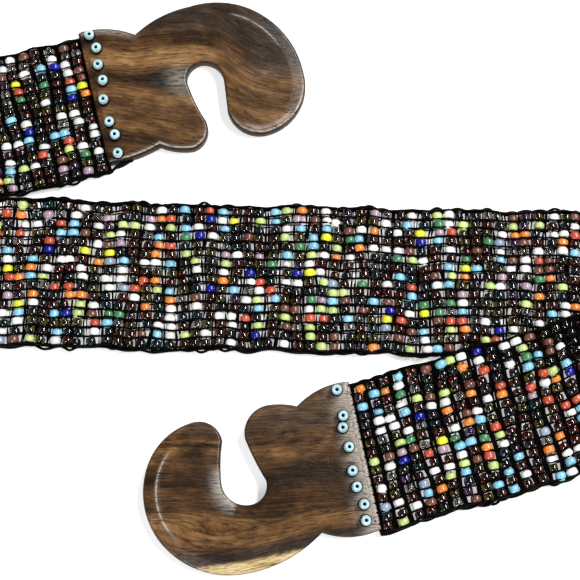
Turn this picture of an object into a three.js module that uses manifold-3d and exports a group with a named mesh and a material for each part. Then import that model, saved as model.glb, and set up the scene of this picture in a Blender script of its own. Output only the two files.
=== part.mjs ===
// A beaded belt with a carved wooden hook at each end, laid down open in three runs.
// The band lies upper run, fold, middle run, fold, lower run, and each run lies over the one before it.
// Millimetres, +Z up. The origin is under the middle of the belt, on the surface that it lies on.

import * as THREE from 'three';
import { mergeVertices } from 'three/addons/utils/BufferGeometryUtils.js';
import Module from 'manifold-3d';

// Seed beads, and the weave that they make
const BEAD_DIAMETER = 4;
const BEAD_LENGTH = 2.9; // along its hole, which runs across the band
const BEAD_HOLE = 1.2;
const BEAD_COLUMNS = 16;
const COLUMN_PITCH = 3.15;
const ROW_PITCH = 4.4;
const ROW_GROOVE = 0.5; // how deep each face dips between two rows
const EDGE_NOTCH = 0.4; // how far each edge draws in between two rows

// How the band lies
const UPPER_RUN = { length: 228.5, heading: 194 };
const MIDDLE_RUN = { length: 520.3, heading: -1.2 };
const LOWER_RUN = { length: 210.9, heading: 196.5 };
const LAYER_GAP = 0.3; // between two runs that lie on each other
const FOLD_RADIUS = 4.2; // to the middle of the band's thickness
const FOLD_OVERTURN = 28; // degrees past the half turn, before the band settles on the run below
const RAMP_START = 3; // past the edge of the run below, where the band starts down to the surface
const RAMP_LENGTH = 11;
const UPPER_HOOK_OFFSET = 2.1; // sideways from the band's middle, to the hook's left
const LOWER_HOOK_OFFSET = -1;
const LOWER_HOOK_TURN = 4.5; // degrees that the lower hook is turned in the band's plane
const HOOK_TURN_LENGTH = 60; // the stretch of band whose rows turn with it
const COLUMN_MARGIN = 1.5; // least distance between two lines of points along the band

// Carved hooks
const PLATE_LENGTH = 76;
const PLATE_WIDTH = 50; // at the band
const PLATE_THICKNESS = 6;
const PLATE_ROUNDING = 1.4;
const PLATE_GAP = 0.3; // between the band's end and the plate's
const ARC_STEP = 14; // degrees of an arc to one flat

// Beads sewn on the hooks
const STUD_INSET = 4.8; // from the plate's end at the band
const STUD_SEAT_GAP = 0.3;
const STUD_SIDES = 10;
const THREAD_HOLE = 1.2;
const THREAD_HOLE_SIDES = 6;

// Outlines, each from the plate's corner at the band round the hook and back to the band.
// A row is an arc's end: along is a share of the plate's length, across a share of half its width,
// and bow is the arc's height over its chord, above 0 where the wood bulges out.
const UPPER_OUTLINE = [
  { along: 0, across: 1.01, bow: 0 },
  { along: 0.262, across: 0.78, bow: 0.09 },
  { along: 0.54, across: 1.01, bow: 0.073 },
  { along: 0.862, across: 0.664, bow: 0.116 },
  { along: 0.99, across: -0.34, bow: 0.104 },
  { along: 0.758, across: -1.104, bow: 0.21 },
  { along: 0.599, across: -0.656, bow: 0.206 },
  { along: 0.617, across: -0.2, bow: 0 },
  { along: 0.534, across: 0.14, bow: -0.21 },
  { along: 0.449, across: -0.16, bow: -0.245 },
  { along: 0.489, across: -0.72, bow: -0.03 },
  { along: 0.401, across: -1.088, bow: 0.23 },
  { along: 0.255, across: -0.92, bow: 0.067 },
  { along: 0, across: -1, bow: 0.05 },
];
const LOWER_OUTLINE = [
  { along: 0, across: 1, bow: 0 },
  { along: 0.262, across: 0.88, bow: 0.1 },
  { along: 0.651, across: 1.192, bow: 0.088 },
  { along: 0.964, across: 0.584, bow: 0.124 },
  { along: 0.964, across: -0.468, bow: 0.13 },
  { along: 0.724, across: -0.936, bow: 0.13 },
  { along: 0.613, across: -0.6, bow: 0.22 },
  { along: 0.653, across: -0.08, bow: -0.03 },
  { along: 0.553, across: 0.316, bow: -0.216 },
  { along: 0.457, across: 0.04, bow: -0.24 },
  { along: 0.511, across: -0.56, bow: 0.02 },
  { along: 0.384, across: -0.952, bow: 0.21 },
  { along: 0.253, across: -0.852, bow: 0.05 },
  { along: 0, across: -1.04, bow: 0.097 },
];

// Sewn beads, hand placed: across is a share of half the plate's width, and along is added to the inset
const UPPER_STUDS = [
  { across: 0.91, along: -0.8 },
  { across: 0.69, along: 0.6 },
  { across: 0.43, along: -0.2 },
  { across: 0.18, along: 0.2 },
  { across: -0.11, along: -1.1 },
  { across: -0.46, along: -0.9 },
  { across: -0.67, along: 0 },
  { across: -0.95, along: -0.5 },
];
const LOWER_STUDS = [
  { across: 0.87, along: 0 },
  { across: 0.65, along: -0.6 },
  { across: 0.4, along: 0.6 },
  { across: 0.17, along: 0.8 },
  { across: -0.16, along: 0.3 },
  { across: -0.44, along: 0.9 },
  { across: -0.6, along: -0.1 },
  { across: -0.97, along: 0.1 },
];

const BAND_WIDTH = BEAD_COLUMNS * COLUMN_PITCH;
const radians = THREE.MathUtils.degToRad;
const manifold = await Module();
manifold.setup();

// 0 up to 0, 1 from 1 on, and a smooth step between
function smooth(x) {
  const t = THREE.MathUtils.clamp(x, 0, 1);
  return t * t * (3 - 2 * t);
}

// The unit vector along a heading in degrees, counted from +X towards +Y
function direction(heading) {
  return new THREE.Vector2(Math.cos(radians(heading)), Math.sin(radians(heading)));
}

// The unit vector square to another one, on its left
function leftOf(vector) {
  return new THREE.Vector2(-vector.y, vector.x);
}

// A fold seen from its end: a turn of a bit more than half a circle, then a shallow curve back that
// sets the band down on the run below. The distance counts along the band from where the turn starts.
const LAYER_RISE = BEAD_DIAMETER + LAYER_GAP;
const OVERTURN = radians(FOLD_OVERTURN);
const SETTLE_RADIUS =
  (FOLD_RADIUS * (1 + Math.cos(OVERTURN)) - LAYER_RISE) / (1 - Math.cos(OVERTURN));
const TURN_LENGTH = (Math.PI + OVERTURN) * FOLD_RADIUS;
const FOLD_LENGTH = TURN_LENGTH + OVERTURN * SETTLE_RADIUS;
const FOLD_RETURN = (FOLD_RADIUS + SETTLE_RADIUS) * Math.sin(OVERTURN);

function foldAt(distance) {
  if (distance <= 0) return { out: distance, up: 0, turn: 0 };
  if (distance <= TURN_LENGTH) {
    const turn = distance / FOLD_RADIUS;
    return { out: FOLD_RADIUS * Math.sin(turn), up: FOLD_RADIUS * (1 - Math.cos(turn)), turn };
  }
  if (distance <= FOLD_LENGTH) {
    const left = OVERTURN - (distance - TURN_LENGTH) / SETTLE_RADIUS;
    return {
      out: SETTLE_RADIUS * Math.sin(left) - FOLD_RETURN,
      up: LAYER_RISE + SETTLE_RADIUS * (1 - Math.cos(left)),
      turn: Math.PI + left,
    };
  }
  return { out: FOLD_LENGTH - distance - FOLD_RETURN, up: LAYER_RISE, turn: Math.PI };
}

// The runs in plan, each with its start along the band, its origin and its two directions.
// A fold mirrors the next run about the fold's line and turns the band's other face up.
function layRuns() {
  const runs = [UPPER_RUN, MIDDLE_RUN, LOWER_RUN].map(({ length, heading }) => ({
    length,
    along: direction(heading),
  }));
  runs[0].start = 0;
  runs[0].origin = new THREE.Vector2();
  runs[0].side = leftOf(runs[0].along);
  runs[0].face = 1;
  const folds = runs.slice(1).map((next, k) => {
    const run = runs[k];
    const outward = run.along.clone().sub(next.along).normalize();
    const centre = run.origin.clone().addScaledVector(run.along, run.length);
    next.start = run.start + run.length;
    next.origin = centre.clone().addScaledVector(outward, FOLD_LENGTH - FOLD_RETURN);
    next.side = run.side.clone().addScaledVector(outward, -2 * run.side.dot(outward));
    next.face = -run.face;
    return { run, next, centre, outward, line: leftOf(outward), below: leftOf(run.along) };
  });
  return { runs, folds };
}

const { runs, folds } = layRuns();
const BAND_LENGTH = runs[2].start + runs[2].length;
const ROWS = Math.round(BAND_LENGTH / ROW_PITCH);

// The fold that a place along the band is nearer to
function foldNear(s) {
  return s < runs[1].start + runs[1].length / 2 ? folds[0] : folds[1];
}

// How far the rows are turned in the band's plane, near the lower hook
function rowTurn(s) {
  return radians(LOWER_HOOK_TURN) * smooth(1 - (BAND_LENGTH - s) / HOOK_TURN_LENGTH);
}

// The point s along the band, v across it and w out of its first face
function pointOnBand(s, v, w) {
  const { run, next, centre, outward, line, below } = foldNear(s);
  const turned = rowTurn(s);
  const flat = run.along.clone().multiplyScalar(s - next.start + v * Math.sin(turned));
  flat.addScaledVector(run.side, v * Math.cos(turned));
  const fold = foldAt(flat.dot(outward));
  const plan = line.clone().multiplyScalar(flat.dot(line)).addScaledVector(outward, fold.out);
  const past = Math.abs(plan.dot(below)) - BAND_WIDTH / 2 - RAMP_START;
  const up = fold.up * (1 - smooth(past / RAMP_LENGTH));
  plan.addScaledVector(outward, -run.face * w * Math.sin(fold.turn)).add(centre);
  return [plan.x, plan.y, BEAD_DIAMETER / 2 + up + run.face * w * Math.cos(fold.turn)];
}

// Where the two inner lines of points cross a row, as distances across the band. On a run that
// comes off the one below they follow the ramp's top and foot, and elsewhere they keep to thirds.
function innerColumns(s) {
  const { next, centre, below } = foldNear(s);
  const inner = BAND_WIDTH / 2 - COLUMN_MARGIN;
  const middle = next.origin.clone().addScaledVector(next.along, s - next.start).sub(centre);
  const offset = middle.dot(below);
  const slant = Math.sign(offset) * next.side.dot(below);
  const onRamp = smooth((s - next.start - FOLD_LENGTH) / FOLD_LENGTH);
  const columns = [RAMP_START, RAMP_START + RAMP_LENGTH].map((past, k) => {
    const across = (BAND_WIDTH / 2 + past - Math.abs(offset)) / slant;
    const even = (k - 0.5) * Math.sign(slant) * (BAND_WIDTH / 3);
    return THREE.MathUtils.clamp(THREE.MathUtils.lerp(even, across, onRamp), -inner, inner);
  });
  const [low, high] = columns.sort((a, b) => a - b);
  const upper = Math.max(high, COLUMN_MARGIN - inner);
  return [Math.min(low, upper - COLUMN_MARGIN), upper];
}

// The band, as a ring of eight points at each row's crest and at each dip between two rows
function bandGeometry() {
  const sections = 2 * ROWS + 1;
  const positions = [];
  for (let k = 0; k < sections; k++) {
    const s = (BAND_LENGTH * k) / (sections - 1);
    const crest = k % 2 === 1;
    const half = BAND_WIDTH / 2 - (crest ? 0 : EDGE_NOTCH);
    const w = BEAD_DIAMETER / 2 - (crest ? 0 : ROW_GROOVE);
    const columns = [-half, ...innerColumns(s), half];
    for (const v of columns) positions.push(...pointOnBand(s, v, w));
    for (const v of columns.reverse()) positions.push(...pointOnBand(s, v, -w));
  }
  return sweptGeometry(positions, sections, 8);
}

// A closed mesh from rings of points, with its two ends filled strip by strip
function sweptGeometry(positions, sections, ring) {
  const index = [];
  for (let k = 0; k < sections - 1; k++) {
    for (let j = 0; j < ring; j++) {
      const a = k * ring + j;
      const b = k * ring + ((j + 1) % ring);
      index.push(a, b + ring, b, a, a + ring, b + ring);
    }
  }
  const last = (sections - 1) * ring;
  for (let j = 0; j < ring / 2 - 1; j++) {
    const [a, b, c, d] = [j, j + 1, ring - 2 - j, ring - 1 - j];
    index.push(a, b, c, a, c, d, last + a, last + c, last + b, last + a, last + d, last + c);
  }
  const geometry = new THREE.BufferGeometry();
  geometry.setAttribute('position', new THREE.Float32BufferAttribute(positions, 3));
  geometry.setIndex(index);
  geometry.computeVertexNormals();
  return geometry;
}

// An outline's points, from its table of arcs
function outlinePoints(table) {
  const corners = table.map(
    ({ along, across }) => new THREE.Vector2(along * PLATE_LENGTH, (across * PLATE_WIDTH) / 2),
  );
  const points = [corners[0]];
  for (let k = 1; k < corners.length; k++) {
    const [from, to, bow] = [corners[k - 1], corners[k], table[k].bow];
    const half = 2 * Math.atan(2 * bow);
    const flats = Math.max(1, Math.ceil(Math.abs(2 * half) / radians(ARC_STEP)));
    const chord = to.clone().sub(from);
    for (let j = 1; j <= flats; j++) {
      const angle = half * ((2 * j) / flats - 1);
      const reach = bow ? (Math.sin(angle) / Math.sin(half) + 1) / 2 : j / flats;
      const rise = bow ? (Math.cos(angle) - Math.cos(half)) / (2 * Math.sin(half)) : 0;
      points.push(
        from.clone().addScaledVector(chord, reach).addScaledVector(leftOf(chord), rise),
      );
    }
  }
  return points;
}

// A geometry as a solid that can be cut, and back again
function toSolid(geometry) {
  const bare = geometry.clone();
  bare.deleteAttribute('normal');
  bare.deleteAttribute('uv');
  const merged = mergeVertices(bare, 1e-4);
  return new manifold.Manifold(
    new manifold.Mesh({
      numProp: 3,
      vertProperties: merged.attributes.position.array,
      triVerts: new Uint32Array(merged.index.array),
    }),
  );
}

function toGeometry(solid) {
  const mesh = solid.getMesh();
  const geometry = new THREE.BufferGeometry();
  geometry.setAttribute('position', new THREE.BufferAttribute(mesh.vertProperties, 3));
  geometry.setIndex(new THREE.BufferAttribute(mesh.triVerts, 1));
  geometry.computeVertexNormals();
  return geometry;
}

function studPlaces(studs) {
  return studs.map(({ along, across }) => ({
    x: STUD_INSET + along,
    y: across * (PLATE_WIDTH / 2 - PLATE_ROUNDING / 2),
  }));
}

// A carved plate with rounded rims, standing on its back, drilled under each sewn bead
function plateGeometry(outline, studs) {
  const plate = new THREE.ExtrudeGeometry(new THREE.Shape(outlinePoints(outline)), {
    depth: PLATE_THICKNESS - 2 * PLATE_ROUNDING,
    bevelThickness: PLATE_ROUNDING,
    bevelSize: PLATE_ROUNDING,
    bevelOffset: -PLATE_ROUNDING,
    bevelSegments: 2,
  }).translate(0, 0, PLATE_ROUNDING);
  let solid = toSolid(plate);
  for (const { x, y } of studPlaces(studs)) {
    const drill = new THREE.CylinderGeometry(
      THREAD_HOLE / 2,
      THREAD_HOLE / 2,
      2 * PLATE_THICKNESS,
      THREAD_HOLE_SIDES,
    );
    solid = solid.subtract(toSolid(drill.rotateX(Math.PI / 2).translate(x, y, 0)));
  }
  return toGeometry(solid);
}

// A drilled bead with a round belly, its hole upright, standing on z = 0
function studGeometry() {
  const hole = BEAD_HOLE / 2;
  const belly = BEAD_DIAMETER / 2;
  const rim = (hole + belly) / 2;
  const profile = [
    new THREE.Vector2(hole, BEAD_LENGTH * 0.12),
    new THREE.Vector2(rim, 0),
    new THREE.Vector2(belly, BEAD_LENGTH * 0.32),
    new THREE.Vector2(belly, BEAD_LENGTH * 0.68),
    new THREE.Vector2(rim, BEAD_LENGTH),
    new THREE.Vector2(hole, BEAD_LENGTH * 0.88),
    new THREE.Vector2(hole, BEAD_LENGTH * 0.12),
  ];
  return new THREE.LatheGeometry(profile, STUD_SIDES).rotateX(Math.PI / 2);
}

const bandMaterial = new THREE.MeshStandardMaterial({ color: 0x3a2f2b, roughness: 0.25 });
const woodMaterial = new THREE.MeshStandardMaterial({ color: 0x5b4230, roughness: 0.4 });
const studMaterial = new THREE.MeshStandardMaterial({ color: 0xa9d8ea, roughness: 0.2 });

function namedMesh(name, geometry, material) {
  const mesh = new THREE.Mesh(geometry, material);
  mesh.name = name;
  return mesh;
}

// A hook with its row of sewn beads, in the plate's own axes: +X from the band to the hook's tip
function hookGroup(name, outline, studs) {
  const hook = new THREE.Group();
  hook.add(namedMesh(`${name}_hook`, plateGeometry(outline, studs), woodMaterial));
  studPlaces(studs).forEach(({ x, y }, k) => {
    const stud = namedMesh(`${name}_stud_${k + 1}`, studGeometry(), studMaterial);
    stud.position.set(x, y, PLATE_THICKNESS + STUD_SEAT_GAP);
    hook.add(stud);
  });
  return hook;
}

// Sets a hook against an end of the band, heading away from it, and moved sideways to its left
function fitHook(hook, end, heading, offset) {
  const along = direction(heading);
  const place = end.clone().addScaledVector(along, PLATE_GAP).addScaledVector(leftOf(along), offset);
  hook.position.set(place.x, place.y, 0);
  hook.rotation.z = radians(heading);
}

const upperHook = hookGroup('upper', UPPER_OUTLINE, UPPER_STUDS);
fitHook(upperHook, runs[0].origin, UPPER_RUN.heading - 180, UPPER_HOOK_OFFSET);
const lowerHook = hookGroup('lower', LOWER_OUTLINE, LOWER_STUDS);
const lowerEnd = runs[2].origin.clone().addScaledVector(runs[2].along, runs[2].length);
fitHook(lowerHook, lowerEnd, LOWER_RUN.heading - LOWER_HOOK_TURN, LOWER_HOOK_OFFSET);

const belt = new THREE.Group();
belt.add(namedMesh('beaded_band', bandGeometry(), bandMaterial), upperHook, lowerHook);

const middle = new THREE.Box3().setFromObject(belt, true).getCenter(new THREE.Vector3());
belt.position.set(-middle.x, -middle.y, 0);

export default belt;
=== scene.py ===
"""A beaded belt with a carved wooden hook at each end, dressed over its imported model.

Lengths are millimetres in the belt's plan, whose origin is the middle of the band's first end, on
the surface that the belt lies on. make_piece turns them into metres in the frame.
"""
import bpy
import numpy as np
from mathutils import Matrix, Vector
from mathutils.geometry import delaunay_2d_cdt


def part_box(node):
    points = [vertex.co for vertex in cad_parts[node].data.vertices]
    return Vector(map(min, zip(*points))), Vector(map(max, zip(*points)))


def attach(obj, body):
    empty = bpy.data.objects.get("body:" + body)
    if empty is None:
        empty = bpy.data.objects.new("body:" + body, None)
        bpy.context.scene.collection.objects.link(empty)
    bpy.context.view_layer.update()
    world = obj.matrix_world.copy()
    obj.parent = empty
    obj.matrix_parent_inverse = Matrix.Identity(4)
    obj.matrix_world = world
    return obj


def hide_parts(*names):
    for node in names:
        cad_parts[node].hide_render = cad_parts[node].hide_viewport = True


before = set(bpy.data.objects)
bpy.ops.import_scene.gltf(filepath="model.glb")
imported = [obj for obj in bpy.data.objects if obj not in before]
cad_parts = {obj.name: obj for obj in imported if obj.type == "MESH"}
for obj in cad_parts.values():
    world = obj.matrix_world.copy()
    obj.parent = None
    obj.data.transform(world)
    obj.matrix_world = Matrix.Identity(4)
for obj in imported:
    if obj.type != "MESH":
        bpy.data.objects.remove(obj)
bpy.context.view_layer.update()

MM = 0.001
RNG = np.random.default_rng(41)

# Seed beads, and the weave that they make
BAND_THICKNESS = 4.0
BEAD_DIAMETER = 3.6
BEAD_LENGTH = 3.0
BEAD_HOLE = 1.2
BEAD_SIDES = 10
COLUMNS = 16
COLUMN_PITCH = 3.15
ROW_PITCHES = (4.6, 4.4, 4.85)  # in each run
ROW_PITCH = 4.5
BAND_WIDTH = COLUMNS * COLUMN_PITCH

# Waves by which the weave strays, as lengths along and across the band, and how far they take it
STRAY_WAVES = ((83, 61), (47, -39), (29, 140), (21, -26), (14, 33))
ROW_STRAY = 0.3
COLUMN_STRAY = 0.22

# How the band lies
RUN_LENGTHS = (228.5, 520.3, 210.9)
RUN_HEADINGS = (194.0, -1.2, 196.5)
BAND_LENGTH = sum(RUN_LENGTHS)
FIRST_ROW = 2.2
LAYER_RISE = BAND_THICKNESS + 0.3
FOLD_RADIUS = 4.2
OVERTURN = np.radians(28)
RAMP_START = 3.0
RAMP_LENGTH = 11.0
UPPER_HOOK_OFFSET = 2.1
LOWER_HOOK_OFFSET = -1.0
LOWER_HOOK_TURN = 4.5
HOOK_TURN_LENGTH = 60.0

# Threads, and how far they go on past the band's ends
WARP_RADII = {"front_warps": 0.3, "back_warps": 0.38}
WEFT_RADIUS = 0.2
BINDING_SPACING = 0.9
BINDING_RADIUS = 0.62
MIDDLE_BINDING_RADIUS = 0.36
EDGE_LOOP_RADIUS = 0.48
EDGE_CORD_RADIUS = 0.5
THREAD_END = 0.9
HOOK_THREAD_END = 9.0

# Studs, by the thread that holds each, its stem down into the plate, and the black ring round each
# foot that stands in for its contact shadow
STEM_RADIUS = 0.45
STEM_DEPTH = 6.5
STEM_RISE = 0.9
SHADOW_RING_RADIUS = 1.85
SHADOW_RING_THICKNESS = 0.32

# Carved hooks
PLATE_LENGTH = 76.0
PLATE_WIDTH = 50.0
PLATE_THICKNESS = 6.0
PLATE_GAP = 0.3
RIM_ROUNDING = 1.1
BEVEL_WIDTH = 4.6
END_BEVEL_WIDTH = 2.4
STRAIGHT_END = 1.2

# A row is an arc's end as a share of the plate's length and of half its width, then its bow
UPPER_OUTLINE = [
    (0, 1.01, 0), (0.262, 0.78, 0.09), (0.54, 1.01, 0.073), (0.862, 0.664, 0.116),
    (0.99, -0.34, 0.104), (0.758, -1.104, 0.21), (0.599, -0.656, 0.206), (0.617, -0.2, 0),
    (0.534, 0.14, -0.21), (0.449, -0.16, -0.245), (0.489, -0.72, -0.03), (0.401, -1.088, 0.23),
    (0.255, -0.92, 0.067), (0, -1, 0.05),
]
LOWER_OUTLINE = [
    (0, 1, 0), (0.262, 0.88, 0.1), (0.651, 1.192, 0.088), (0.964, 0.584, 0.124),
    (0.964, -0.468, 0.13), (0.724, -0.936, 0.13), (0.613, -0.6, 0.22), (0.653, -0.08, -0.03),
    (0.553, 0.316, -0.216), (0.457, 0.04, -0.24), (0.511, -0.56, 0.02), (0.384, -0.952, 0.21),
    (0.253, -0.852, 0.05), (0, -1.04, 0.097),
]

# In a hook's own axes: the middle that its tip curls round, and its slot's round end
UPPER_CURL = (44, -1)
LOWER_CURL = (42, 2)
UPPER_SLOT_END = (40.5, -6)
LOWER_SLOT_END = (42.1, 0.3)
LOWER_SLOT_RADIUS = 7.6

# The photograph's view
VIEW_CENTRE = np.array([70.09, -66.76])
VIEW_TILT = np.radians(11)
VIEW_DISTANCE = 480.0
PHOTO_SIZE = 580
PIXEL_SIZE = 0.35


def unit(heading):
    angle = np.radians(heading)
    return np.array([np.cos(angle), np.sin(angle)])


def left_of(vector):
    return np.array([-vector[1], vector[0]])


def normalised(vectors):
    return vectors / np.linalg.norm(vectors, axis=-1, keepdims=True)


def smooth(x):
    """0 up to 0, 1 from 1 on, and a smooth step between."""
    t = np.clip(x, 0, 1)
    return t * t * (3 - 2 * t)


def wander(places, spacing, amount, rng):
    """A smooth random curve: random heights at even spacing, joined by a smooth step."""
    knots = rng.normal(0, amount, int(np.max(places) / spacing) + 3)
    cell = np.clip(places / spacing, 0, len(knots) - 2)
    low = cell.astype(int)
    return knots[low] + (knots[low + 1] - knots[low]) * smooth(cell - low)


def lay_rows():
    """Where the rows of beads lie along the band, at each run's own pitch."""
    stops = np.cumsum([0.0, *RUN_LENGTHS])
    stops[0], stops[-1] = FIRST_ROW, BAND_LENGTH - FIRST_ROW
    counts = np.cumsum([0.0, *(np.diff(stops) / ROW_PITCHES)])
    return np.interp(np.linspace(0, counts[-1], round(counts[-1]) + 1), counts, stops)


ROW_PLACES = lay_rows()
ROWS = len(ROW_PLACES)
BETWEEN_ROWS = (ROW_PLACES[1:] + ROW_PLACES[:-1]) / 2
SETTLE_RADIUS = (FOLD_RADIUS * (1 + np.cos(OVERTURN)) - LAYER_RISE) / (1 - np.cos(OVERTURN))
TURN_LENGTH = (np.pi + OVERTURN) * FOLD_RADIUS
FOLD_LENGTH = TURN_LENGTH + OVERTURN * SETTLE_RADIUS
FOLD_RETURN = (FOLD_RADIUS + SETTLE_RADIUS) * np.sin(OVERTURN)


def fold_at(distance):
    """A fold seen from its end: an arc of a bit more than half a circle, then a shallow arc back that
    sets the band on the run below. Gives the way out, the way up and the angle turned."""
    turn = np.clip(distance / FOLD_RADIUS, 0, np.pi + OVERTURN)
    left = np.clip(OVERTURN - (distance - TURN_LENGTH) / SETTLE_RADIUS, 0, OVERTURN)
    before, after = np.minimum(distance, 0), np.maximum(distance - FOLD_LENGTH, 0)
    turning = distance <= TURN_LENGTH
    out = np.where(
        turning,
        FOLD_RADIUS * np.sin(turn) + before,
        SETTLE_RADIUS * np.sin(left) - FOLD_RETURN - after,
    )
    up = np.where(
        turning,
        FOLD_RADIUS * (1 - np.cos(turn)),
        LAYER_RISE + SETTLE_RADIUS * (1 - np.cos(left)),
    )
    return out, up, np.where(turning, turn, np.pi + left)


def lay_runs():
    """The runs in plan, and the folds between them. A fold mirrors the next run about the fold's own
    line, and turns the band's other face up."""
    runs = [{"along": unit(h), "length": l} for h, l in zip(RUN_HEADINGS, RUN_LENGTHS)]
    runs[0].update(start=0.0, origin=np.zeros(2), side=left_of(runs[0]["along"]), face=1)
    folds = []
    for run, after in zip(runs, runs[1:]):
        outward = normalised(run["along"] - after["along"])
        centre = run["origin"] + run["length"] * run["along"]
        after["start"] = run["start"] + run["length"]
        after["origin"] = centre + (FOLD_LENGTH - FOLD_RETURN) * outward
        after["side"] = run["side"] - 2 * (run["side"] @ outward) * outward
        after["face"] = -run["face"]
        folds.append({
            "run": run, "start": after["start"], "centre": centre, "outward": outward,
            "line": left_of(outward), "below": left_of(run["along"]),
        })
    return runs, folds


RUNS, FOLDS = lay_runs()


def stray(s, v, seed):
    """How far the weave strays from straight lines at a place: a sum of slow waves over the band,
    none of them at the band's ends."""
    phases = np.random.default_rng(seed).uniform(0, 2 * np.pi, len(STRAY_WAVES))
    waves = [
        np.sin(2 * np.pi * (s / length + v / breadth) + phase)
        for (length, breadth), phase in zip(STRAY_WAVES, phases)
    ]
    return np.sum(waves, axis=0) * smooth(np.minimum(s, BAND_LENGTH - s) / 15)


def row_turn(s):
    """How far the rows are turned in the band's plane, near the lower hook."""
    return np.radians(LOWER_HOOK_TURN) * smooth(1 - (BAND_LENGTH - s) / HOOK_TURN_LENGTH)


def point_by_fold(fold, s, v, w):
    """Places on the band, laid flat along the fold's first run and then folded over it."""
    run, turned = fold["run"], row_turn(s)
    flat = (s - fold["start"] + v * np.sin(turned))[..., None] * run["along"]
    flat = flat + (v * np.cos(turned))[..., None] * run["side"]
    out, up, turn = fold_at(flat @ fold["outward"])
    plan = (flat @ fold["line"])[..., None] * fold["line"] + out[..., None] * fold["outward"]
    past = np.abs(plan @ fold["below"]) - BAND_WIDTH / 2 - RAMP_START
    up = up * (1 - smooth(past / RAMP_LENGTH))
    plan = plan - (run["face"] * w * np.sin(turn))[..., None] * fold["outward"] + fold["centre"]
    height = BAND_THICKNESS / 2 + up + run["face"] * w * np.cos(turn)
    return np.concatenate([plan, height[..., None]], axis=-1)


def point_on_band(s, v, w):
    """The points s along the band, v across it and w out of its first face."""
    s, v, w = np.broadcast_arrays(*(np.asarray(x, float) for x in (s, v, w)))
    s, v = s + ROW_STRAY * stray(s, v, 3), v + COLUMN_STRAY * stray(s, 0.3 * v, 8)
    nearer = s < RUNS[1]["start"] + RUNS[1]["length"] / 2
    return np.where(
        nearer[..., None], point_by_fold(FOLDS[0], s, v, w), point_by_fold(FOLDS[1], s, v, w)
    )


def axes_on_band(s, v):
    """The band's own directions at a place: along it, across it and out of its first face."""
    step = 0.05
    along = point_on_band(s + step, v, 0) - point_on_band(s - step, v, 0)
    across = point_on_band(s, v + step, 0) - point_on_band(s, v - step, 0)
    along, across = normalised(along), normalised(across)
    outward = normalised(np.cross(along, across))
    return along, normalised(np.cross(outward, along)), outward


def grid_faces(rows, columns, close_rows=False, close_columns=False):
    """The four-sided faces of a grid of points, numbered row by row."""
    r = np.arange(rows if close_rows else rows - 1)[:, None]
    c = np.arange(columns if close_columns else columns - 1)[None, :]
    r2, c2 = (r + 1) % rows, (c + 1) % columns
    corners = [r * columns + c, r2 * columns + c, r2 * columns + c2, r * columns + c2]
    return np.stack(np.broadcast_arrays(*corners), axis=-1).reshape(-1, 4)


def repeated(faces, copies, points_each):
    """A copy's faces for each of several copies whose points follow each other."""
    shift = (np.arange(copies) * points_each)[:, None, None]
    return (faces[None] + shift).reshape(-1, faces.shape[1])


def make_piece(name, points, faces, material, stands_for, marks=None, flat=False):
    """A mesh piece from its points in the belt's plan and a list of face arrays. marks are values
    kept at the points, by name: one number, three for a place, or four for a colour."""
    mesh = bpy.data.meshes.new(name)
    places = (points.reshape(-1, 3) - FRAME_ORIGIN) * MM
    loops = np.concatenate([f.reshape(-1) for f in faces]).astype(np.int32)
    sizes = np.concatenate([np.full(len(f), f.shape[1]) for f in faces])
    starts = np.concatenate([[0], np.cumsum(sizes)[:-1]]).astype(np.int32)
    mesh.vertices.add(len(places))
    mesh.vertices.foreach_set("co", places.astype(np.float32).reshape(-1))
    mesh.loops.add(len(loops))
    mesh.loops.foreach_set("vertex_index", loops)
    mesh.polygons.add(len(starts))
    mesh.polygons.foreach_set("loop_start", starts)
    mesh.polygons.foreach_set("use_smooth", np.full(len(starts), not flat))
    mesh.update(calc_edges=True)
    kinds = {1: ("FLOAT", "value"), 3: ("FLOAT_VECTOR", "vector"), 4: ("FLOAT_COLOR", "color")}
    for mark, values in (marks or {}).items():
        values = values.reshape(len(places), -1)
        kind, field = kinds[values.shape[1]]
        mesh.attributes.new(mark, kind, "POINT")
        mesh.attributes[mark].data.foreach_set(field, values.astype(np.float32).reshape(-1))
    mesh.materials.append(material)
    piece = bpy.data.objects.new(name, mesh)
    bpy.context.scene.collection.objects.link(piece)
    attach(piece, "root")
    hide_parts(*stands_for)
    return piece


def tubes(paths, facing, radius, sides):
    """Round strands: a ring of points about each point of each path, in the plane square to the
    path there, and a flat end at both ends. facing points roughly sideways off the path."""
    count, steps = paths.shape[:2]
    ahead = normalised(np.gradient(paths, axis=1))
    sideways = normalised(np.cross(ahead, facing))
    outward = np.cross(sideways, ahead)
    angle = np.arange(sides) * 2 * np.pi / sides
    radius = np.broadcast_to(radius, paths.shape[:2])[..., None, None]
    ring = np.cos(angle)[:, None] * sideways[:, :, None] + np.sin(angle)[:, None] * outward[:, :, None]
    points = paths[:, :, None] + radius * ring
    walls = repeated(grid_faces(steps, sides, close_columns=True), count, steps * sides)
    first = np.arange(sides)[None, :]
    ends = np.concatenate([first, first[:, ::-1] + (steps - 1) * sides])
    return points.reshape(-1, 3), [walls, repeated(ends, count, steps * sides)]


def joined(parts):
    """Several sets of points and faces as one."""
    points, faces, shift = [], [], 0
    for part_points, part_faces in parts:
        points.append(part_points)
        faces += [f + shift for f in part_faces]
        shift += len(part_points)
    return np.concatenate(points), faces


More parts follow.
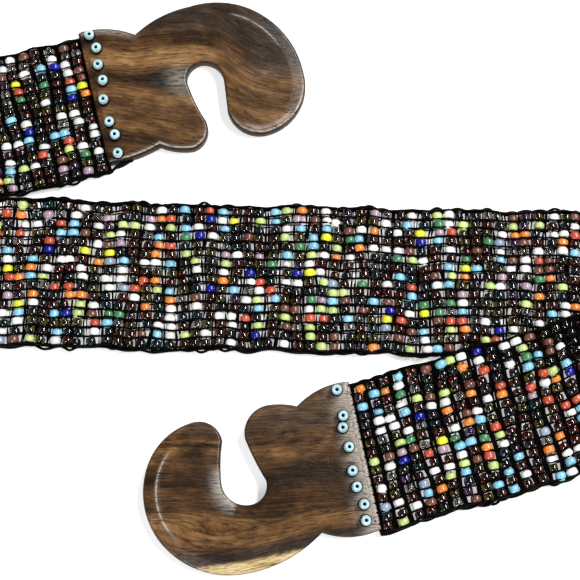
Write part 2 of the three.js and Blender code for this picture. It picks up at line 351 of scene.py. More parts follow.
# Bead colours: share of the beads, colour as it looks in daylight, and whether light passes through
BEAD_COLOURS = [
    ("white", 15, "fbf9f6", False),
    ("sky blue", 9, "8ed2ee", False),
    ("lime", 6, "c8de86", False),
    ("coral", 6, "cc563c", False),
    ("orange", 4.5, "f08e3e", False),
    ("brown", 5, "74493a", False),
    ("mauve", 2.5, "b79cae", False),
    ("yellow", 1.8, "f0ec34", False),
    ("green", 1.5, "4a8a5c", False),
    ("slate blue", 1.5, "9aabc0", False),
    ("navy", 1.5, "141a94", False),
    ("cocoa", 18, "703820", True),
    ("olive", 11, "7e7030", True),
    ("crystal", 6, "bcb6ae", True),
    ("wine", 5, "7c1612", True),
    ("teal", 4, "1e4e58", True),
    ("smoke", 15, "3e3e42", True),
    ("amethyst", 2, "82648e", True),
]

# Bead tilt about the band's length in degrees, at stops along the band: it tips the beads' ends
# towards the band's first face, and it turns over with the band at each fold
TILT_STOPS = ((0, -4), (205, -4), (255, 7), (725, 7), (775, -2), (BAND_LENGTH, -2))


def linear(hex_colour):
    """A colour's light values, from the six digits that name it."""
    value = np.array([int(hex_colour[k:k + 2], 16) / 255 for k in (0, 2, 4)])
    return np.where(value <= 0.04045, value / 12.92, ((value + 0.055) / 1.055) ** 2.4)


def bead_layout():
    """Each bead's place, tilt, size and colour: a row for each weft, a bead between each two warps."""
    v = (np.arange(COLUMNS) - (COLUMNS - 1) / 2) * COLUMN_PITCH
    s, v = (x.reshape(-1) for x in np.meshgrid(ROW_PLACES, v, indexing="ij"))
    count = len(s)
    shares = np.array([row[1] for row in BEAD_COLOURS], float)
    stops = np.array(TILT_STOPS)
    width = np.clip(RNG.normal(1.04, 0.08, count), 0.84, 1.11)
    return {
        "s": s + np.clip(RNG.normal(0, 0.4, count), -0.8, 0.8),
        "v": v + RNG.normal(0, 0.15, count),
        "w": RNG.uniform(-1, 1, count) * np.maximum(BAND_THICKNESS - width * BEAD_DIAMETER, 0) / 2,
        "tilt": np.radians(np.interp(s, *stops.T) + RNG.normal(0, 7, count)),
        "turn": np.radians(RNG.normal(0, 6, count)),
        "width": width,
        "length": np.clip(RNG.normal(1, 0.08, count), 0.78, 1.1),
        "colour": RNG.choice(len(BEAD_COLOURS), count, p=shares / shares.sum()),
        "shade": np.clip(RNG.normal(1, 0.07, count), 0.8, 1.2),
    }


def bead_points(beads):
    """Beads as rings about their own axis, from the rim of the hole over the round belly to the rim
    of the hole at the other end. The axis lies across the band, tilted and turned a little."""
    along, across, outward = axes_on_band(beads["s"], beads["v"])
    tilt, turn = beads["tilt"][:, None], beads["turn"][:, None]
    axis = across * np.cos(tilt) - outward * np.sin(tilt)
    top = outward * np.cos(tilt) + across * np.sin(tilt)
    side = along * np.cos(turn) + axis * np.sin(turn)
    axis = axis * np.cos(turn) - along * np.sin(turn)
    half, hole, belly = BEAD_LENGTH / 2, BEAD_HOLE / 2, BEAD_DIAMETER / 2
    profile = np.array([
        (-0.8 * half, hole), (-half, 0.46 * belly), (-0.85 * half, 0.8 * belly),
        (-0.46 * half, belly), (0.46 * half, belly), (0.85 * half, 0.8 * belly),
        (half, 0.46 * belly), (0.8 * half, hole),
    ])
    angle = (np.arange(BEAD_SIDES) + 0.5) * 2 * np.pi / BEAD_SIDES
    ring = np.cos(angle)[:, None] * side[:, None] + np.sin(angle)[:, None] * top[:, None]
    centre = point_on_band(beads["s"], beads["v"], beads["w"])[:, None, None]
    reach = profile[None, :, 0, None, None] * beads["length"][:, None, None, None]
    radius = profile[None, :, 1, None, None] * beads["width"][:, None, None, None]
    points = centre + reach * axis[:, None, None] + radius * ring[:, None]
    faces = grid_faces(len(profile), BEAD_SIDES, close_rows=True, close_columns=True)
    return points.reshape(-1, 3), repeated(faces, len(centre), len(profile) * BEAD_SIDES), profile


def make_beads(materials):
    """The beads, as one piece for each run and finish."""
    beads = bead_layout()
    clear = np.array([row[3] for row in BEAD_COLOURS])[beads["colour"]]
    colours = np.array([linear(row[2]) for row in BEAD_COLOURS])[beads["colour"]]
    colours = np.clip(colours * beads["shade"][:, None], 0, 1)
    starts = [run["start"] for run in RUNS] + [BAND_LENGTH]
    for k, run_name in enumerate(("upper_run", "middle_run", "lower_run")):
        in_run = (beads["s"] >= starts[k]) & (beads["s"] < starts[k + 1])
        in_run |= (k == 0) & (beads["s"] < 0) | (k == 2) & (beads["s"] >= BAND_LENGTH)
        for finish, chosen in (("opaque", in_run & ~clear), ("clear", in_run & clear)):
            some = {key: value[chosen] for key, value in beads.items()}
            points, faces, profile = bead_points(some)
            each = len(profile) * BEAD_SIDES
            tint = np.concatenate([colours[chosen], np.ones((chosen.sum(), 1))], axis=1)
            make_piece(
                f"{run_name}_{finish}_beads", points, [faces], materials[finish],
                ["beaded_band"], {"bead_colour": np.repeat(tint, each, axis=0)},
            )


def strand(s, v, w, radius, sides):
    """Strands that follow the band, from places on it."""
    return tubes(point_on_band(s, v, w), axes_on_band(s, v)[2], radius, sides)


def make_warps(material):
    """The lengthways threads, over and under the gaps between the columns of beads. Each presses on
    the ends of the beads to one side of it, dips between two rows and wanders a little. Those under
    the gaps are the thicker ones."""
    count = np.linspace(0, ROWS - 1, 3 * (ROWS - 1) + 1)
    s = np.interp(count, np.arange(ROWS), ROW_PLACES)
    s[0], s[-1] = -THREAD_END, BAND_LENGTH + THREAD_END
    lines = (np.arange(COLUMNS + 1) - COLUMNS / 2) * COLUMN_PITCH
    for face, name in ((1, "front_warps"), (-1, "back_warps")):
        radius = WARP_RADII[name]
        aside = np.stack([wander(s - s[0], 2 * ROW_PITCH, 0.2, RNG) for _ in lines]) - 0.3
        rise = np.stack([wander(s - s[0], 2 * ROW_PITCH, 0.1, RNG) for _ in lines])
        w = face * np.minimum(1.4 + 0.3 * np.cos(2 * np.pi * count) + rise, 2.0 - radius)
        points, faces = strand(np.broadcast_to(s, w.shape), lines[:, None] + aside, w, radius, 4)
        make_piece(name, points, faces, material, ["beaded_band"])


def make_wefts(material):
    """The crossways threads, through the holes of each row of beads."""
    v = (np.arange(COLUMNS + 1) - COLUMNS / 2) * COLUMN_PITCH
    s = ROW_PLACES[:, None] + np.zeros(len(v))
    v = np.broadcast_to(v, s.shape)
    bow = 0.12 * np.cos(np.pi * v / COLUMN_PITCH)
    path = point_on_band(s, v, bow)
    points, faces = tubes(path, axes_on_band(s, v)[2], WEFT_RADIUS, 4)
    make_piece("wefts", points, faces, material, ["beaded_band"])


def make_binding_wefts(material):
    """The crossways threads between the rows of beads, a pair in each gap, over and under the warps
    in turn, a little below the side that shows. They fill the gap, or in the middle run leave parts
    of it open where they are thin."""
    v = (np.arange(2 * COLUMNS + 1) / 2 - COLUMNS / 2) * COLUMN_PITCH
    places = np.concatenate([[0.0], BETWEEN_ROWS, [BAND_LENGTH]])
    s = (places[:, None] + [-BINDING_SPACING / 2, BINDING_SPACING / 2]).reshape(-1)
    middle = ((s > RUNS[1]["start"]) & (s < RUNS[2]["start"]))[:, None]
    turns = np.where(np.arange(len(s)) % 2, 1, -1)[:, None]
    aside = np.stack([wander(v - v[0], 1.5 * COLUMN_PITCH, 0.15, RNG) for _ in s])
    w = 0.35 * turns * np.cos(np.pi * v / COLUMN_PITCH) + np.where(middle, 0.3, -0.3)
    thin = np.stack([wander(v - v[0], COLUMN_PITCH, 0.16, RNG) for _ in s])
    radius = np.where(middle, np.clip(MIDDLE_BINDING_RADIUS + thin, 0.08, 0.5), BINDING_RADIUS)
    points, faces = strand(s[:, None] + aside, np.broadcast_to(v, w.shape), w, radius, 4)
    make_piece("binding_wefts", points, faces, material, ["beaded_band"])


def make_edge_threads(material):
    """The wefts' turns along both edges: two strands on each edge that swing out and back in turn,
    each loop by its own amount, and a third that wanders along the beads' ends. One edge's strands go
    on along the upper hook's side."""
    parts = []
    for side, past in ((-1, THREAD_END), (1, HOOK_THREAD_END)):
        s = np.linspace(-past, BAND_LENGTH + THREAD_END, 5 * ROWS + 1)
        tucked = smooth(-s / 3)
        edge = BAND_WIDTH / 2 - 0.9 * tucked - 0.16 * np.maximum(-1 - s, 0)
        for shift in (0, 1):
            swing = np.sin(np.pi * (s / ROW_PITCH + shift + wander(s - s[0], 9, 0.16, RNG)) / 2) ** 2
            reach = np.clip(0.6 + wander(s - s[0], 1.5 * ROW_PITCH, 0.45, RNG), 0.1, 1.5)
            w = 0.7 * np.cos(np.pi * (s / ROW_PITCH + shift)) + wander(s - s[0], 7, 0.25, RNG)
            w = np.clip(w, -1.5, 1.5)
            v = side * (edge + reach * swing * (1 - 0.7 * tucked))
            parts.append(strand(s[None], v[None], w[None], EDGE_LOOP_RADIUS, 6))
        v = side * (edge + 0.1 + wander(s - s[0], 1.2 * ROW_PITCH, 0.35, RNG))
        w = wander(s - s[0], 2 * ROW_PITCH, 0.4, RNG).clip(-1.2, 1.2)
        parts.append(strand(s[None], v[None], w[None], EDGE_CORD_RADIUS, 6))
    points, faces = joined(parts)
    make_piece("edge_threads", points, faces, material, ["beaded_band"])


def outline_points(table, step=0.7):
    """An outline from its table of arcs, cut into short even steps. An arc of bow b turns through
    four times the arctangent of twice b."""
    ends = [np.array([a * PLATE_LENGTH, c * PLATE_WIDTH / 2]) for a, c, _ in table]
    points = []
    for (start, end), (_, _, bow) in zip(zip(ends, ends[1:] + ends[:1]), table[1:] + table[:1]):
        chord = end - start
        half = 2 * np.arctan(2 * bow)
        flats = max(2, int(np.ceil(np.linalg.norm(chord) * (1 + 2 * bow * bow) / step)))
        angle = half * np.linspace(-1, 1, flats + 1)[:-1]
        if bow:
            reach = (np.sin(angle) / np.sin(half) + 1) / 2
            rise = (np.cos(angle) - np.cos(half)) / (2 * np.sin(half))
        else:
            reach, rise = np.arange(flats) / flats, np.zeros(flats)
        points.append(start + reach[:, None] * chord + rise[:, None] * left_of(chord))
    return np.concatenate(points)[::-1]


def outline_normals(points):
    """Outward steps at an outline's points, long enough at a corner to keep both sides' distance."""
    ahead = normalised(np.roll(points, -1, axis=0) - points)
    normal = np.stack([ahead[:, 1], -ahead[:, 0]], axis=1)
    before = np.roll(normal, 1, axis=0)
    return (normal + before) / (1 + np.sum(normal * before, axis=1))[:, None]


def inside(points, outline):
    """Which points lie inside an outline, by counting the edges to their right."""
    x, y = points[:, None, 0], points[:, None, 1]
    a, b = outline[None], np.roll(outline, -1, axis=0)[None]
    spans = (a[..., 1] > y) != (b[..., 1] > y)
    rise = np.where(spans, b[..., 1] - a[..., 1], 1)
    at = a[..., 0] + (y - a[..., 1]) * (b[..., 0] - a[..., 0]) / rise
    return np.sum(spans & (at > x), axis=1) % 2 == 1


def filled(loop, spacing):
    """Points and triangles that fill a closed loop, with even points inside it."""
    low, high = loop.min(axis=0), loop.max(axis=0)
    x, y = np.meshgrid(*(np.arange(l, h, spacing) for l, h in zip(low, high)), indexing="ij")
    grid = np.stack([x + (y / spacing % 2 > 1) * spacing / 2, y], axis=-1).reshape(-1, 2)
    grid = grid[inside(grid, loop)]
    gaps = np.linalg.norm(grid[:, None] - loop[None], axis=2).min(axis=1)
    points = np.concatenate([loop, grid[gaps > spacing / 2]])
    made = delaunay_2d_cdt(
        [Vector(p) for p in points], [], [list(range(len(loop)))], 1, 1e-6
    )
    return np.array([tuple(p) for p in made[0]]), np.array(made[2])


def hook_mesh(table, bevel_drop, end_drop, paint_highlights):
    """A carved plate in its own axes, with its painted highlights and how much of its dull side it is at
    each point. Its rim is a strip of rings about the outline: up the side, round the edge and up a wide
    shallow bevel to a soft crease. The back and the top are filled from the rings that bound them,
    and the top is a little crowned."""
    outline = outline_points(table)
    normal = outline_normals(outline)
    at_end = smooth((STRAIGHT_END - outline[:, 0]) / STRAIGHT_END)
    drop = bevel_drop(*outline.T) * (1 - at_end) + end_drop * at_end
    reach = BEVEL_WIDTH * (1 - at_end) + END_BEVEL_WIDTH * at_end
    rim = PLATE_THICKNESS - drop
    rings = [(0.9, 0 * drop, -3), (0.25, 0.22 + 0 * drop, -3), (0, 0.9 + 0 * drop, -2)]
    for angle in np.radians(np.linspace(0, 90, 6)):
        inset, height = RIM_ROUNDING * (1 - np.cos(angle)), rim - RIM_ROUNDING * (1 - np.sin(angle))
        rings.append((inset, height, angle / np.radians(90) - 1))
    for share in (0.25, 0.5, 0.75, 0.92, 1.0, 1.1):
        rise = min(share, 1) - 0.035 * np.exp(-((share - 1) / 0.12) ** 2)
        rings.append((RIM_ROUNDING + share * (reach - RIM_ROUNDING), rim + rise * drop, share))
    strips = np.stack([
        np.column_stack([outline - (inset + 0 * drop)[:, None] * normal, height])
        for inset, height, _ in rings
    ])
    # Painted highlights on each ring of the rim and bevel.
    painted_highlight = np.stack([paint_highlights(outline, normal, share) for *_, share in rings])
    side = np.stack([smooth((-0.3 - share) / 0.5) + 0 * drop for *_, share in rings])
    strip_faces = grid_faces(len(rings), len(outline), close_columns=True)[:, ::-1]
    top, top_faces = filled(strips[-1, :, :2], 1.3)
    top = np.column_stack([top, np.full(len(top), strips[-1, :, 2].mean())])
    top[:len(outline)] = strips[-1]
    back, back_faces = filled(strips[0, :, :2], 6.0)
    back = np.column_stack([back, np.zeros(len(back))])
    back[:len(outline)] = strips[0]
    points, faces = joined([
        (strips.reshape(-1, 3), [strip_faces]), (top, [top_faces]), (back, [back_faces[:, ::-1]]),
    ])
    painted_highlight = np.concatenate([painted_highlight.reshape(-1), np.zeros(len(top) + len(back))])
    side = np.concatenate([side.reshape(-1), np.zeros(len(top)), np.ones(len(back))])
    half_length, half_width = PLATE_LENGTH / 2, PLATE_WIDTH / 2
    off_middle = (points[:, 0] - half_length) / half_length
    crown = 0.25 * off_middle ** 2 + 0.35 * (points[:, 1] / half_width) ** 2
    points[:, 2] -= crown * smooth((points[:, 2] - 1.5) / 3)
    points, faces, kept = welded(points, faces)
    return points, faces, painted_highlight[kept], side[kept]


def welded(points, faces, grain=1e-3):
    """The same mesh with points that share a place made one."""
    keys = np.round(points / grain).astype(np.int64)
    _, first, number = np.unique(keys, axis=0, return_index=True, return_inverse=True)
    return points[first], [number.reshape(-1)[f] for f in faces], first


def hook_place(hook):
    """A hook's origin and heading in the belt's plan."""
    if hook == "upper":
        heading, end, offset = RUN_HEADINGS[0] - 180, RUNS[0]["origin"], UPPER_HOOK_OFFSET
    else:
        heading = RUN_HEADINGS[2] - LOWER_HOOK_TURN
        end = RUNS[2]["origin"] + RUNS[2]["length"] * RUNS[2]["along"]
        offset = LOWER_HOOK_OFFSET
    along = unit(heading)
    return end + PLATE_GAP * along + offset * left_of(along), along


def on_hook(hook, points):
    """Points in a hook's own axes, placed in the belt's plan."""
    origin, along = hook_place(hook)
    plan = origin + points[:, :1] * along + points[:, 1:2] * left_of(along)
    return np.concatenate([plan, points[:, 2:3]], axis=1)


def find_frame_origin():
    """The frame's origin in the belt's plan: the upper hook's box is found here and in the frame."""
    outline = outline_points(UPPER_OUTLINE)
    placed = on_hook("upper", np.concatenate([outline, np.zeros((len(outline), 1))], axis=1))
    here = (placed.min(axis=0) + placed.max(axis=0))[:2] / 2
    low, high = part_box("upper_hook")
    there = np.array([(low.x + high.x) / 2, (low.y + high.y) / 2]) / MM
    return np.append(here - there, 0.0)


FRAME_ORIGIN = find_frame_origin()


def add_node(tree, kind, inputs=None, **settings):
    """A node with its settings, and its inputs as values or as other nodes' outputs."""
    made = tree.nodes.new(kind)
    for name, value in settings.items():
        setattr(made, name, value)
    for name, value in (inputs or {}).items():
        if isinstance(value, bpy.types.NodeSocket):
            tree.links.new(value, made.inputs[name])
        else:
            made.inputs[name].default_value = value
    return made


def maths(tree, operation, *values):
    return add_node(tree, "ShaderNodeMath", dict(enumerate(values)), operation=operation).outputs[0]


def new_material(name):
    """A material with its node tree, which holds just the surface shader and its output."""
    material = bpy.data.materials.new(name)
    material.use_nodes = True
    return material, material.node_tree, material.node_tree.nodes["Principled BSDF"]


def feed(tree, shader, **inputs):
    """Sets a shader's inputs, each named with underscores for spaces."""
    for name, value in inputs.items():
        socket = shader.inputs[name.replace("_", " ")]
        if isinstance(value, bpy.types.NodeSocket):
            tree.links.new(value, socket)
        else:
            socket.default_value = value


def noise(tree, place, scale, detail=3.0, roughness=0.5, distortion=0.0):
    made = add_node(
        tree, "ShaderNodeTexNoise",
        {"Vector": place, "Scale": scale, "Detail": detail, "Roughness": roughness,
         "Distortion": distortion},
    )
    return made.outputs["Fac"]


def stretched(tree, place, scale):
    """A place scaled by its own amount along each axis."""
    return add_node(tree, "ShaderNodeMapping", {"Vector": place, "Scale": scale}).outputs["Vector"]


def ramp(tree, value, stops):
    made = add_node(tree, "ShaderNodeValToRGB", {"Fac": value})
    elements = made.color_ramp.elements
    while len(elements) < len(stops):
        elements.new(1.0)
    for element, (at, colour) in zip(elements, stops):
        element.position = at
        element.color = (*colour, 1.0)
    return made.outputs["Color"]


def mixed(tree, share, first, second, kind="MIX"):
    made = add_node(tree, "ShaderNodeMix", data_type="RGBA", blend_type=kind)
    for socket, value in zip((made.inputs[0], made.inputs[6], made.inputs[7]), (share, first, second)):
        if isinstance(value, bpy.types.NodeSocket):
            tree.links.new(value, socket)
        else:
            socket.default_value = value
    return made.outputs[2]


def bumped(tree, height, distance, strength=1.0):
    made = add_node(
        tree, "ShaderNodeBump", {"Height": height, "Distance": distance, "Strength": strength}
    )
    return made.outputs["Normal"]


def pressed_glass():
    """The node group that all the glass shares: a colour clouded in patches, and the normal of a
    slightly uneven surface."""
    group = bpy.data.node_groups.new("pressed_glass", "ShaderNodeTree")
    group.interface.new_socket("Color", in_out="INPUT", socket_type="NodeSocketColor")
    for name in ("Cloud Scale", "Darkest", "Lightest", "Ripple Scale", "Ripple Depth"):
        group.interface.new_socket(name, in_out="INPUT", socket_type="NodeSocketFloat")
    group.interface.new_socket("Color", in_out="OUTPUT", socket_type="NodeSocketColor")
    group.interface.new_socket("Normal", in_out="OUTPUT", socket_type="NodeSocketVector")
    given = add_node(group, "NodeGroupInput").outputs
    place = add_node(group, "ShaderNodeTexCoord").outputs["Object"]
    cloud = add_node(group, "ShaderNodeMapRange", {
        "Value": noise(group, place, given["Cloud Scale"]), "From Min": 0.3, "From Max": 0.7,
        "To Min": given["Darkest"], "To Max": given["Lightest"],
    })
    colour = mixed(group, 1.0, given["Color"], cloud.outputs["Result"], "MULTIPLY")
    normal = bumped(group, noise(group, place, given["Ripple Scale"]), given["Ripple Depth"])
    add_node(group, "NodeGroupOutput", {"Color": colour, "Normal": normal})
    return group


def glass(name, group, effect, colour=None, **surface):
    """Glass of one colour, or of the colour kept at each bead's points."""
    material, tree, shader = new_material(name)
    if colour is None:
        colour = add_node(tree, "ShaderNodeAttribute", attribute_name="bead_colour").outputs["Color"]
    look = add_node(tree, "ShaderNodeGroup", {"Color": colour, **effect}, node_tree=group).outputs
    feed(tree, shader, Base_Color=look["Color"], Normal=look["Normal"], **surface)
    return material


def make_glasses():
    """The glass of the opaque beads, of the clear beads and of the hooks' studs."""
    group = pressed_glass()
    bead = {
        "Cloud Scale": 900.0, "Darkest": 0.86, "Lightest": 1.04,
        "Ripple Scale": 450.0, "Ripple Depth": 0.00012,
    }
    stud = {
        "Cloud Scale": 420.0, "Darkest": 0.72, "Lightest": 1.12,
        "Ripple Scale": 300.0, "Ripple Depth": 0.0002,
    }
    opaque = glass(
        "opaque_glass", group, bead, Roughness=0.3, Coat_Weight=0.5, Coat_Roughness=0.06
    )
    clear = glass(
        "clear_glass", group, {**bead, "Darkest": 0.55, "Lightest": 0.85},
        Roughness=0.03, Transmission_Weight=1.0, IOR=1.5, Coat_Weight=1.0, Coat_Roughness=0.04,
    )
    studs = glass(
        "stud_glass", group, stud, (*linear("bfe6f0"), 1.0),
        Roughness=0.2, Coat_Weight=0.6, Coat_Roughness=0.06,
    )
    return opaque, clear, studs


def waxed_thread():
    material, tree, shader = new_material("waxed_thread")
    place = add_node(tree, "ShaderNodeTexCoord").outputs["Object"]
    fibre = noise(tree, place, 2500.0, 4.0)
    colour = ramp(tree, fibre, [(0.3, (0.0004, 0.0004, 0.0004)), (0.75, (0.003, 0.0026, 0.0024))])
    normal = bumped(tree, fibre, 0.0002)
    feed(tree, shader, Base_Color=colour, Normal=normal, Roughness=0.45, Specular_IOR_Level=0.04)
    return material


def carved_wood():
    """Polished hardwood. Its streaks run along the grain, which each hook's mesh keeps as a place
    along and across it, with marks for tone (which also holds painted shade on the side walls), grey
    wood, pale sapwood, painted highlights and sheen, and the dull sides."""
    material, tree, shader = new_material("carved_wood")

    def mark(name, output="Fac"):
        return add_node(tree, "ShaderNodeAttribute", attribute_name=name).outputs[output]

    grain = mark("grain", "Vector")
    streak = noise(tree, stretched(tree, grain, (0.02, 0.3, 0.3)), 1.0, 6.0, 0.6, 0.5)
    fine = noise(tree, stretched(tree, grain, (0.07, 2.1, 1.4)), 1.0, 4.0, 0.6, 0.3)
    pores = noise(tree, stretched(tree, grain, (0.3, 2.4, 2.0)), 1.0, 3.0)
    value = maths(tree, "MULTIPLY_ADD", mark("tone"), 0.3, 0.47)
    value = maths(tree, "ADD", value, maths(tree, "MULTIPLY_ADD", streak, 0.5, -0.25))
    value = maths(tree, "ADD", value, maths(tree, "MULTIPLY_ADD", fine, 0.56, -0.28))
    mottle = noise(tree, stretched(tree, grain, (0.12, 0.22, 0.2)), 1.0, 5.0, 0.65)
    value = maths(tree, "ADD", value, maths(tree, "MULTIPLY_ADD", mottle, 0.7, -0.35))
    brown = ramp(tree, value, [
        (0.05, (0.008, 0.004, 0.002)), (0.3, (0.036, 0.017, 0.006)), (0.5, (0.108, 0.052, 0.019)),
        (0.7, (0.245, 0.124, 0.045)), (0.95, (0.46, 0.28, 0.13)),
    ])
    grey = ramp(tree, value, [
        (0.1, (0.016, 0.012, 0.009)), (0.5, (0.088, 0.066, 0.048)), (0.9, (0.30, 0.25, 0.20)),
    ])
    pale = ramp(tree, fine, [(0.3, (0.46, 0.29, 0.11)), (0.62, (0.86, 0.68, 0.36))])
    colour = mixed(tree, mark("grey"), brown, grey)
    colour = mixed(tree, mark("sapwood"), colour, pale)
    # Painted highlight: a pale colour mixed in where the hook's highlight mark is set, broken up by the
    # pore noise.
    highlight_breakup = add_node(
        tree, "ShaderNodeMapRange", {"Value": pores, "From Min": 0.3, "From Max": 0.6, "To Min": 0.5}
    ).outputs["Result"]
    painted_highlight = maths(tree, "MULTIPLY", mark("painted_highlight"), highlight_breakup)
    colour = mixed(tree, painted_highlight, colour, (0.62, 0.55, 0.48, 1.0))
    pore = add_node(
        tree, "ShaderNodeMapRange", {"Value": pores, "From Min": 0.33, "From Max": 0.5, "To Min": 0.35}
    ).outputs["Result"]
    colour = mixed(tree, 1.0, colour, pore, "MULTIPLY")
    growth = noise(tree, stretched(tree, grain, (0.012, 0.26, 0.2)), 1.0, 2.0, 0.4, 0.4)
    off_line = maths(tree, "ABSOLUTE", maths(tree, "SUBTRACT", growth, 0.5))
    line = add_node(
        tree, "ShaderNodeMapRange", {"Value": off_line, "From Max": 0.012, "To Min": 0.45}
    ).outputs["Result"]
    colour = mixed(tree, 1.0, colour, line, "MULTIPLY")
    rough = add_node(
        tree, "ShaderNodeMapRange", {"Value": streak, "To Min": 0.22, "To Max": 0.36}
    ).outputs["Result"]
    normal = bumped(tree, pore, 0.00008)
    sheen = maths(tree, "MULTIPLY_ADD", mark("side"), -0.9, 1.0)
    feed(tree, shader, Base_Color=colour, Roughness=rough, Normal=normal)
    feed(tree, shader, Specular_IOR_Level=maths(tree, "MULTIPLY", sheen, 0.28))
    feed(tree, shader, Coat_Weight=maths(tree, "MULTIPLY", sheen, 0.1), Coat_Roughness=0.1)
    return material


# The upper hook's grain in level axes: distance along, then the heights between which it parts
UPPER_GRAIN = (
    (0, 7.5, 7.5), (8, 7.3, 7.3), (14, 6.4, 6.6), (20, 4.5, 8.3), (27, 2.2, 10), (35, 0.3, 11.4),
    (42, 0, 10.5), (46, 1, 8.5), (52, 0.5, 2.5), (58, -2, -1.5), (70, -4, -4),
)

# Tones across the grain: distance from a middle line, and the wood's tone there, dark below 0
UPPER_TONES = (
    (-30, -0.4), (-20, -0.2), (-14, -0.35), (-9, 0.25), (-6, 0.1), (-3, -0.1), (1.5, 0.5), (4, 0.2),
    (6, -0.3), (7, -0.5), (8.5, -0.3), (10, 0.2), (12.5, 0.8), (15.5, 0.8), (18, 0.3), (20.5, -0.5),
    (24, -0.3), (27, -0.75), (30, -0.35), (36, -0.55), (44, -0.2),
)
LOWER_TONES = (
    (-22, 0), (-10, -0.2), (-6, -0.1), (-5.3, -1), (-4.5, 0), (-2.7, 0.15), (1, -0.2), (3, -0.5),
    (6, -0.9), (9, -0.8), (12, -0.45), (15, -0.4), (16.5, -0.65), (17.6, 0.15), (20, 0.35), (22, 0),
    (23.4, -0.9), (25.2, -0.9), (26, 0),
)


def upper_figure(x, y):
    """The upper hook's grain runs level in the plan. It parts about a dark knot by the slot, whose
    edge gets a painted sheen, and bends down beyond it, where its tones are even."""
    angle = np.radians(RUN_HEADINGS[0] - 180)
    along = x * np.cos(angle) - y * np.sin(angle)
    across = x * np.sin(angle) + y * np.cos(angle)
    stops, low, high = np.array(UPPER_GRAIN).T
    low, high = np.interp(along, stops, low), np.interp(along, stops, high)
    middle = (low + high) / 2
    bent = 7 + np.maximum(across - high, 0) + np.minimum(across - low, 0)
    bent += 0.5 * (np.clip(across, low, high) - middle)
    knot = smooth((across - low + 1) / 2) * smooth((high + 1 - across) / 2)
    knot *= smooth((along - 12) / 5) * smooth((41 - along) / 4)
    tone = np.interp(bent, *np.array(UPPER_TONES).T) - 0.7 * knot * smooth((38 - along) / 12)
    grey = np.clip(0.9 * knot + 0.6 * smooth((along - 50) / 14) * smooth((across - 5) / 5), 0, 1)
    grey = np.maximum(grey, 0.45 * smooth((across - 22) / 6))
    even = 0.85 * smooth((along - 38) / 12)
    tone += even * (0.2 - 0.8 * smooth((bent - 18) / 6) - tone)
    # A painted sheen by the slot's left edge.
    painted_sheen = 0.34 * np.exp(-(((x - 31) / 4) ** 2) - ((y + 1.5) / 5) ** 2)
    return along, bent, tone, grey, np.zeros_like(x), painted_sheen


def lower_figure(x, y):
    """The lower hook's grain slants across it, with pale sapwood at its lower edge. Its straight end,
    and the slot's rim towards the tip, get a painted sheen."""
    bent = y + x * (0.18 - 0.16 * smooth((y - 4) / 20)) + 0.5 * np.sin(x / 9)
    tone = np.interp(bent, *np.array(LOWER_TONES).T) + 0.3 * smooth((x - 52) / 10)
    grey = 0.35 * smooth((-7 - bent) / 4) + 0.85 * np.exp(-(((bent - 24.4) / 1.6) ** 2))
    knot = np.exp(-(((x - 58.6) / 5) ** 2) - ((y + 12.9) / 2.2) ** 2)
    sapwood = smooth((bent - 26.1) / 0.8) * smooth((x - 18) / 6)
    out, angle = polar(x, y, LOWER_SLOT_END)
    past_slot = np.maximum(out - LOWER_SLOT_RADIUS, 0)
    by_slot = within(angle, 8, 56) * np.exp(-((past_slot / 3.2) ** 2))
    # A painted sheen on the straight end and along the slot's rim towards the tip.
    painted_sheen = np.maximum(0.95 * np.clip(1 - x / 10, 0, 1) ** 1.3, 0.68 * by_slot)
    return x, bent, tone - 0.8 * knot, np.clip(grey, 0, 1), sapwood, painted_sheen


def polar(x, y, centre):
    """Distances from a centre, and angles about it in degrees."""
    x, y = x - centre[0], y - centre[1]
    return np.hypot(x, y), np.degrees(np.arctan2(y, x))


def within(angle, middle, half):
    """1 where an angle in degrees is near a middle one, falling to 0 at the given distance."""
    return smooth((half - np.abs((angle - middle + 180) % 360 - 180)) / 12)


def upper_bevel(x, y):
    """Deep round the hook's tip, shallow elsewhere."""
    out, _ = polar(x, y, UPPER_CURL)
    outer = smooth((x - 38) / 16) * smooth((out - 20) / 8)
    return 0.15 + 0.45 * outer


def lower_bevel(x, y):
    """Deeper still round this hook's tip."""
    out, _ = polar(x, y, LOWER_CURL)
    outer = smooth((x - 36) / 18) * smooth((out - 18) / 8)
    return 0.15 + 0.7 * outer


def upper_painted_highlights(outline, normal, share):
    """Painted highlights along the bevel's crease up the tip, on the rims that face down the plan and on
    the upper rim near the band, and a painted sheen on the bevel below the crease."""
    x, y = outline.T
    out, angle = polar(x, y, UPPER_CURL)
    # Pale colour where these edges catch the light: painted highlights and sheen.
    crease = 0.7 * within(angle, 36, 30) * np.exp(-((share - 1) / 0.07) ** 2)
    low_side = 0.45 * within(angle, -62, 26) * np.exp(-((share - 0.25) / 0.2) ** 2)
    rim = 0.95 * np.exp(-((share + 0.2) / 0.15) ** 2) * smooth(-1.5 * normal[:, 1])
    rim *= smooth((polar(x, y, UPPER_SLOT_END)[0] - 11) / 3)
    top = 0.45 * np.exp(-((share - 0.05) / 0.3) ** 2) * smooth(1.5 * normal[:, 1]) * smooth((22 - x) / 6)
    return np.maximum(np.maximum(crease, low_side) * smooth((out - 22) / 4), np.maximum(rim, top))


def lower_painted_highlights(outline, normal, share):
    """A painted highlight along the bevel's crease at the hook's back."""
    x, y = outline.T
    out, angle = polar(x, y, LOWER_CURL)
    # Pale colour along the crease: a painted highlight.
    return within(angle, -6, 36) * np.exp(-((share - 1) / 0.07) ** 2) * smooth((out - 22) / 4)


